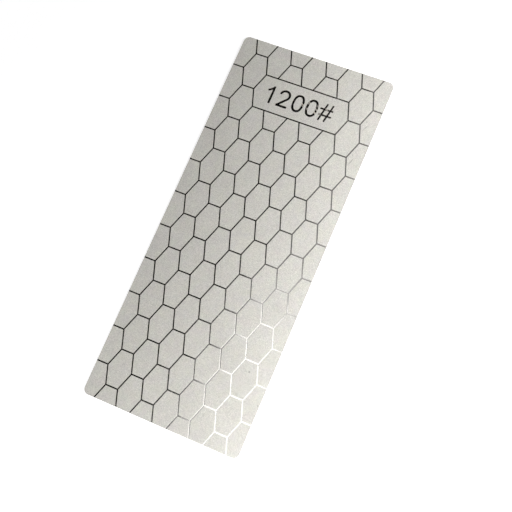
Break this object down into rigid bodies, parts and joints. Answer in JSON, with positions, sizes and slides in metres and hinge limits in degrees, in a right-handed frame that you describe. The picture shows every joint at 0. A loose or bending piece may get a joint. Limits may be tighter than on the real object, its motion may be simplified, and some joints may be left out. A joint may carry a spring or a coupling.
{
  "type": "sharpening whetstone",
  "caption": "Thin steel sharpening plate with rounded corners, faced with honeycomb islands of diamond abrasive between bare steel lines, and a grade panel near one end.",
  "frame": {"origin": "middle of the plate's plain back face, which lies on the bench", "axes": "+Z out of the abrasive face, +Y along the plate towards the end with the grade panel, +X across the plate"},
  "size_m": [0.07, 0.17, 0.001],
  "materials": {
    "bare_steel": "bright rolled sheet steel, polished in the lines, fine brushing on the back",
    "diamond_nickel": "matte, even grain of fine grit held in electroplated nickel"
  },
  "bodies": {
    "root": {"steel_plate": "bare_steel", "grade_panel": "diamond_nickel", "head_islands": "diamond_nickel", "panel_islands_left": "diamond_nickel", "panel_islands_right": "diamond_nickel", "abrasive_row_01": "diamond_nickel", "abrasive_row_02": "diamond_nickel", "abrasive_row_03": "diamond_nickel", "abrasive_row_04": "diamond_nickel", "abrasive_row_05": "diamond_nickel", "abrasive_row_06": "diamond_nickel", "abrasive_row_07": "diamond_nickel", "abrasive_row_08": "diamond_nickel", "abrasive_row_09": "diamond_nickel", "abrasive_row_10": "diamond_nickel", "abrasive_row_11": "diamond_nickel", "abrasive_row_12": "diamond_nickel", "abrasive_row_13": "diamond_nickel", "abrasive_row_14": "diamond_nickel", "abrasive_row_15": "diamond_nickel", "abrasive_row_16": "diamond_nickel", "tail_islands": "diamond_nickel"}
  },
  "joints": []
}
